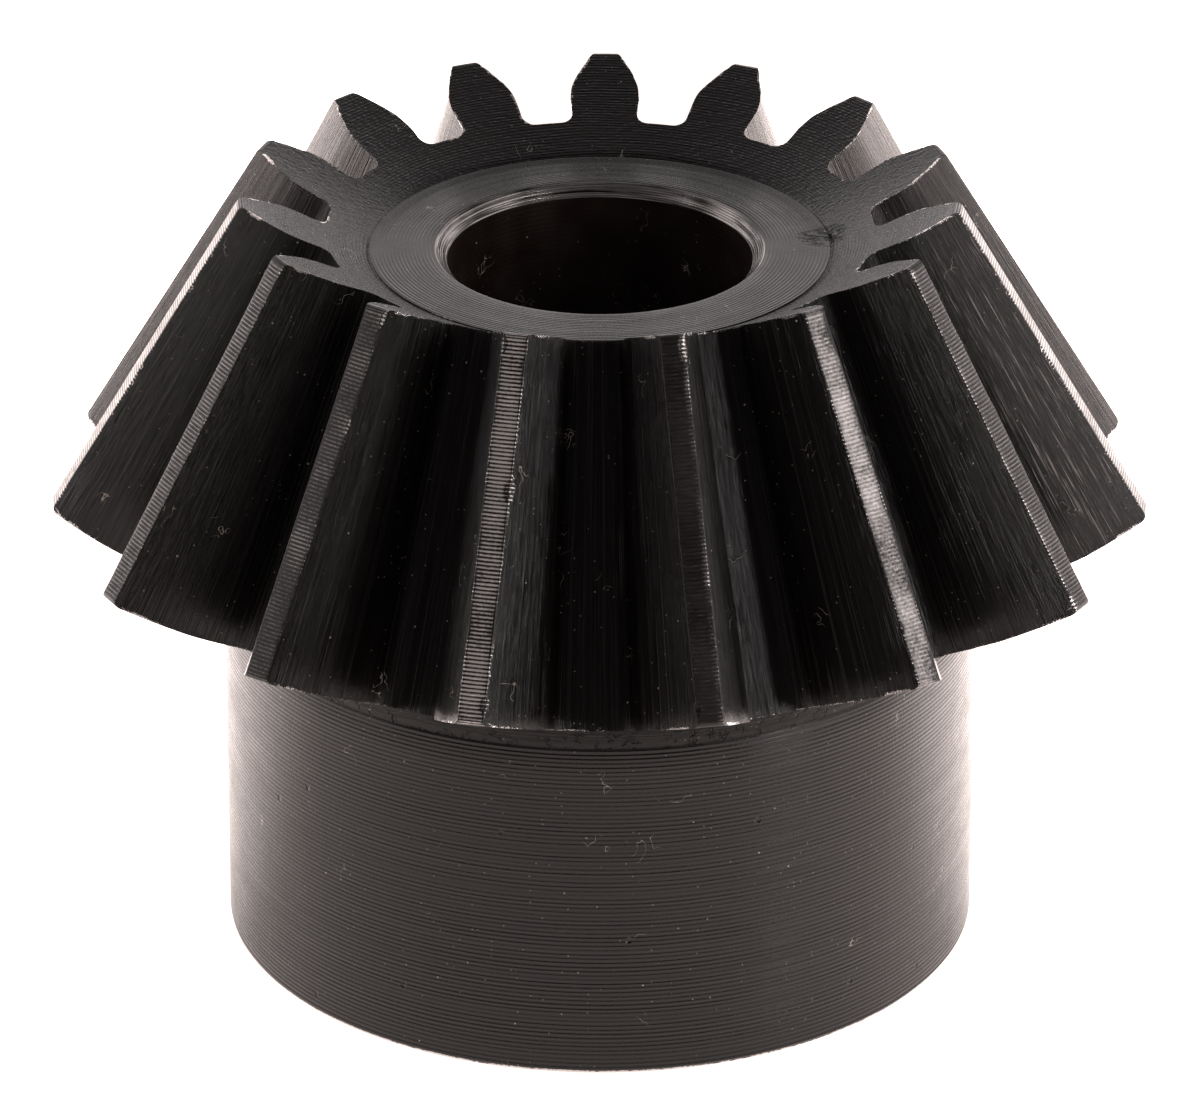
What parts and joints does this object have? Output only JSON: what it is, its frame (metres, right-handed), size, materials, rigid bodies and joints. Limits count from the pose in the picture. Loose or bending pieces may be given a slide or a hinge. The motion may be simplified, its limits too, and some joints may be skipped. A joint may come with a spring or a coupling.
{
  "type": "straight bevel pinion",
  "caption": "Straight-tooth bevel pinion in blackened steel: a plain cylindrical hub, a cone of teeth that meet at one apex, a dished small end with a flat ring, and a through bore.",
  "frame": {"origin": "centre of the hub's rear face, on the bore's axis", "axes": "+Z along the bore from the hub towards the small end of the teeth; one tooth is centred on +Y and one tooth gap on -Y"},
  "size_m": [0.0432, 0.043, 0.0312],
  "materials": {
    "blackened_steel": "black oxide over turned and gear-cut steel, lightly oiled, bright where edges have worn"
  },
  "bodies": {
    "root": {"bevel_pinion": "blackened_steel"}
  },
  "joints": []
}
